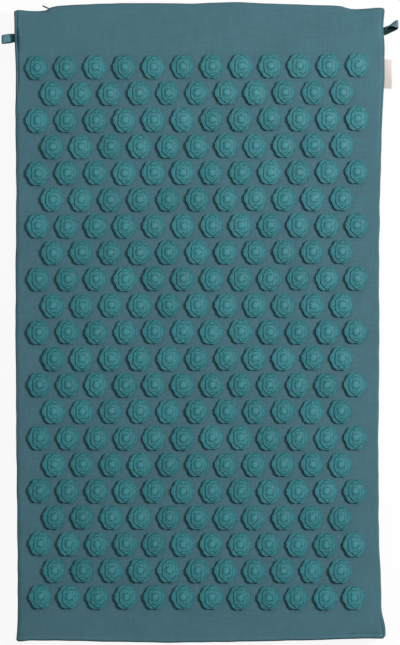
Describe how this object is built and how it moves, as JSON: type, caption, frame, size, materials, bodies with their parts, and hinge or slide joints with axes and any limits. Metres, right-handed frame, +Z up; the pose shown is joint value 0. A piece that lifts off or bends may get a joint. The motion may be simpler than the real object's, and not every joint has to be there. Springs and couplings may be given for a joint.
{
  "type": "acupressure mat",
  "caption": "Flat foam mat in a zipped woven cover, set all over with staggered flower-shaped plastic spike discs, with side hanging loops.",
  "frame": {"origin": "middle of the underside of the whole mat, on the surface that it lies on", "axes": "+Z up, +Y along the mat towards its zipped end, +X towards the side with the label"},
  "size_m": [0.4502, 0.7277, 0.0303],
  "materials": {
    "foam": "open-cell foam, matt",
    "linen": "plain linen weave, dusty blue",
    "canvas": "plain canvas weave, dusty blue",
    "disc_plastic": "moulded, satin teal",
    "zip_tape": "twill tape",
    "zip_coil": "wound nylon",
    "dark_metal": "dark enamel on die-cast zinc",
    "loop_ribbon": "woven ribbon",
    "label_satin": "cream satin, blank"
  },
  "bodies": {
    "mat": {"foam_core": "foam", "top_panel": "linen", "bottom_panel": "canvas", "flower_row_01": "disc_plastic", "flower_row_02": "disc_plastic", "flower_row_03": "disc_plastic", "flower_row_04": "disc_plastic", "flower_row_05": "disc_plastic", "flower_row_06": "disc_plastic", "flower_row_07": "disc_plastic", "flower_row_08": "disc_plastic", "flower_row_09": "disc_plastic", "flower_row_10": "disc_plastic", "flower_row_11": "disc_plastic", "flower_row_12": "disc_plastic", "flower_row_13": "disc_plastic", "flower_row_14": "disc_plastic", "flower_row_15": "disc_plastic", "flower_row_16": "disc_plastic", "flower_row_17": "disc_plastic", "flower_row_18": "disc_plastic", "flower_row_19": "disc_plastic", "flower_row_20": "disc_plastic", "flower_row_21": "disc_plastic", "zip_tape_upper": "zip_tape", "zip_tape_lower": "zip_tape", "zip_coil_upper": "zip_coil", "zip_coil_lower": "zip_coil", "zip_top_stop_upper": "dark_metal", "zip_top_stop_lower": "dark_metal", "zip_bottom_stop": "dark_metal"},
    "slider": {"zip_slider": "dark_metal"},
    "pull": {"zip_pull": "dark_metal"},
    "left_loop": {"hang_loop_left": "loop_ribbon"},
    "right_loop": {"hang_loop_right": "loop_ribbon"},
    "label": {"side_label": "label_satin"}
  },
  "joints": [
    {"name": "zip_slide", "type": "slide", "parent": "mat", "child": "slider", "axis": [1, 0, 0], "range_m": [0, 0.323]},
    {"name": "zip_pull_swing", "type": "hinge", "parent": "slider", "child": "pull", "pos_m": [-0.16165, 0.35575, 0.0121], "axis": [0, 0, 1], "range_deg": [-150, 8]},
    {"name": "left_loop_swing", "type": "hinge", "parent": "mat", "child": "left_loop", "pos_m": [-0.20954, 0.3221, 0.0121], "axis": [0, 1, 0], "range_deg": [-75, 75]},
    {"name": "right_loop_swing", "type": "hinge", "parent": "mat", "child": "right_loop", "pos_m": [0.20979, 0.3306, 0.0121], "axis": [0, -1, 0], "range_deg": [-75, 75]},
    {"name": "label_swing", "type": "hinge", "parent": "mat", "child": "label", "pos_m": [0.20908, 0.2819, 0.0121], "axis": [0, -1, 0], "range_deg": [-75, 75]}
  ]
}
